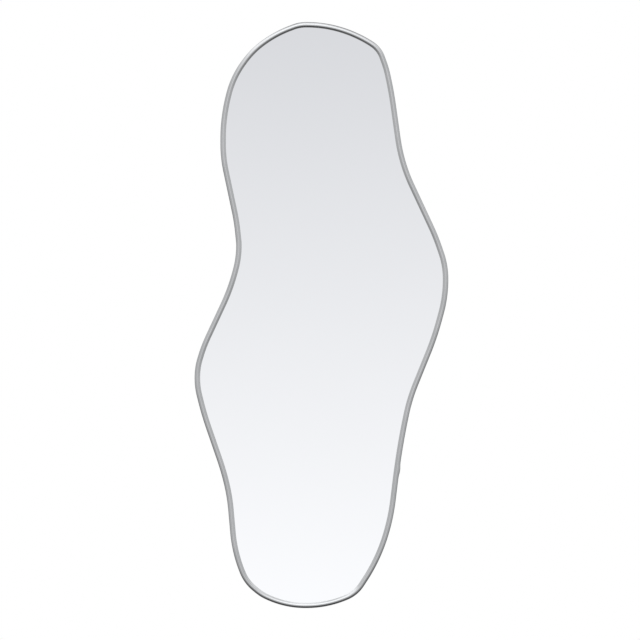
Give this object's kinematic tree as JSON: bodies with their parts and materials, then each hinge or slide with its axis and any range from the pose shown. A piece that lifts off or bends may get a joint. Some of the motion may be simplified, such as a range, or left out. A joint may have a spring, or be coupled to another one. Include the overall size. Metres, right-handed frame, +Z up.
{
  "type": "wall mirror",
  "caption": "Tall free-form wall mirror with a wavy outline, a thin half-round metal frame and hanging rings on its back.",
  "frame": {"origin": "middle of the overall width and height, on the wall plane that the rubber bumpers touch; the frame's rear rim stands 1.5 mm in front of it", "axes": "+Z up, -Y out of the mirror's front towards the viewer, +X to the viewer's right"},
  "size_m": [0.66, 0.03, 1.524],
  "materials": {
    "frame_metal": "fine brushed silver",
    "silvered_glass": "mirror",
    "safety_film": "matte",
    "foam_tape": "matte foam",
    "fibreboard": "raw fibreboard",
    "clip_steel": "zinc plated",
    "strap_steel": "nickel plated",
    "ring_wire": "nickel plated",
    "screw_steel": "zinc plated",
    "bumper_rubber": "matte"
  },
  "bodies": {
    "mirror": {"frame_rim": "frame_metal", "mirror_glass": "silvered_glass", "backing_film": "safety_film", "mounting_tapes": "foam_tape", "back_board": "fibreboard", "clip_top": "clip_steel", "clip_upper_left": "clip_steel", "clip_waist_left": "clip_steel", "clip_left": "clip_steel", "clip_hip_left": "clip_steel", "clip_foot_left": "clip_steel", "clip_bottom": "clip_steel", "clip_foot_right": "clip_steel", "clip_hip_right": "clip_steel", "clip_right": "clip_steel", "clip_shoulder_right": "clip_steel", "clip_upper_right": "clip_steel", "clip_screws": "screw_steel", "hanger_left": "strap_steel", "hanger_right": "strap_steel", "hanger_screws": "screw_steel", "bumper_top_left": "bumper_rubber", "bumper_top_right": "bumper_rubber", "bumper_low_left": "bumper_rubber", "bumper_low_right": "bumper_rubber", "bumper_screws": "screw_steel"},
    "ring_left": {"ring_left": "ring_wire"},
    "ring_right": {"ring_right": "ring_wire"}
  },
  "joints": [
    {"name": "ring_left_swing", "type": "hinge", "parent": "mirror", "child": "ring_left", "pos_m": [-0.15, -0.00394, 0.47], "axis": [-1, 0, 0], "range_deg": [0, 184]},
    {"name": "ring_right_swing", "type": "hinge", "parent": "mirror", "child": "ring_right", "pos_m": [0.13, -0.00394, 0.47], "axis": [-1, 0, 0], "range_deg": [0, 184]}
  ]
}
